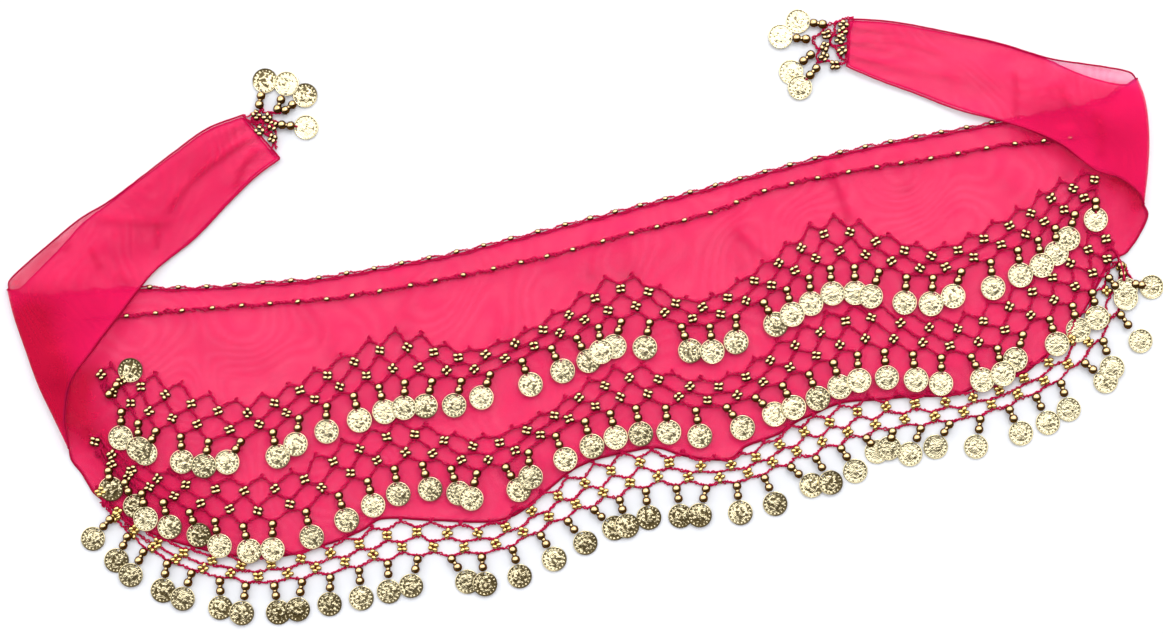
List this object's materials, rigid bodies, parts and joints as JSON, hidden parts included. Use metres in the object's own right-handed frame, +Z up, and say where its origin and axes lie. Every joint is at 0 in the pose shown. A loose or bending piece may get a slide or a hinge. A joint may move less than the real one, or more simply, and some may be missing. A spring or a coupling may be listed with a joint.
{
  "type": "belly dance hip scarf",
  "caption": "Chiffon hip sash laid flat with both ties folded back, with wavy crocheted nets edged in beads and dangling coins.",
  "frame": {"origin": "middle of the whole laid-out scarf, on the table that it rests on", "axes": "+X along the waist towards the right tie as it is seen from above, +Y from the coin hem towards the waist edge, +Z up"},
  "size_m": [0.921, 0.4487, 0.0062],
  "materials": {
    "chiffon": "sheer matt chiffon",
    "crochet_thread": "matt spun thread",
    "gold": "bright gold plate on stamped coins and round beads"
  },
  "bodies": {
    "root": {"body_back": "chiffon", "body_front": "chiffon", "tie_left_under": "chiffon", "tie_left_over": "chiffon", "tie_right_under": "chiffon", "tie_right_over": "chiffon", "waist_edging": "crochet_thread", "bead_line": "crochet_thread", "net_upper": "crochet_thread", "net_middle": "crochet_thread", "net_hem": "crochet_thread", "tie_left_net": "crochet_thread", "tie_right_net": "crochet_thread", "coins_upper": "gold", "coins_middle": "gold", "coins_hem": "gold", "tie_left_coins": "gold", "tie_right_coins": "gold"}
  },
  "joints": []
}
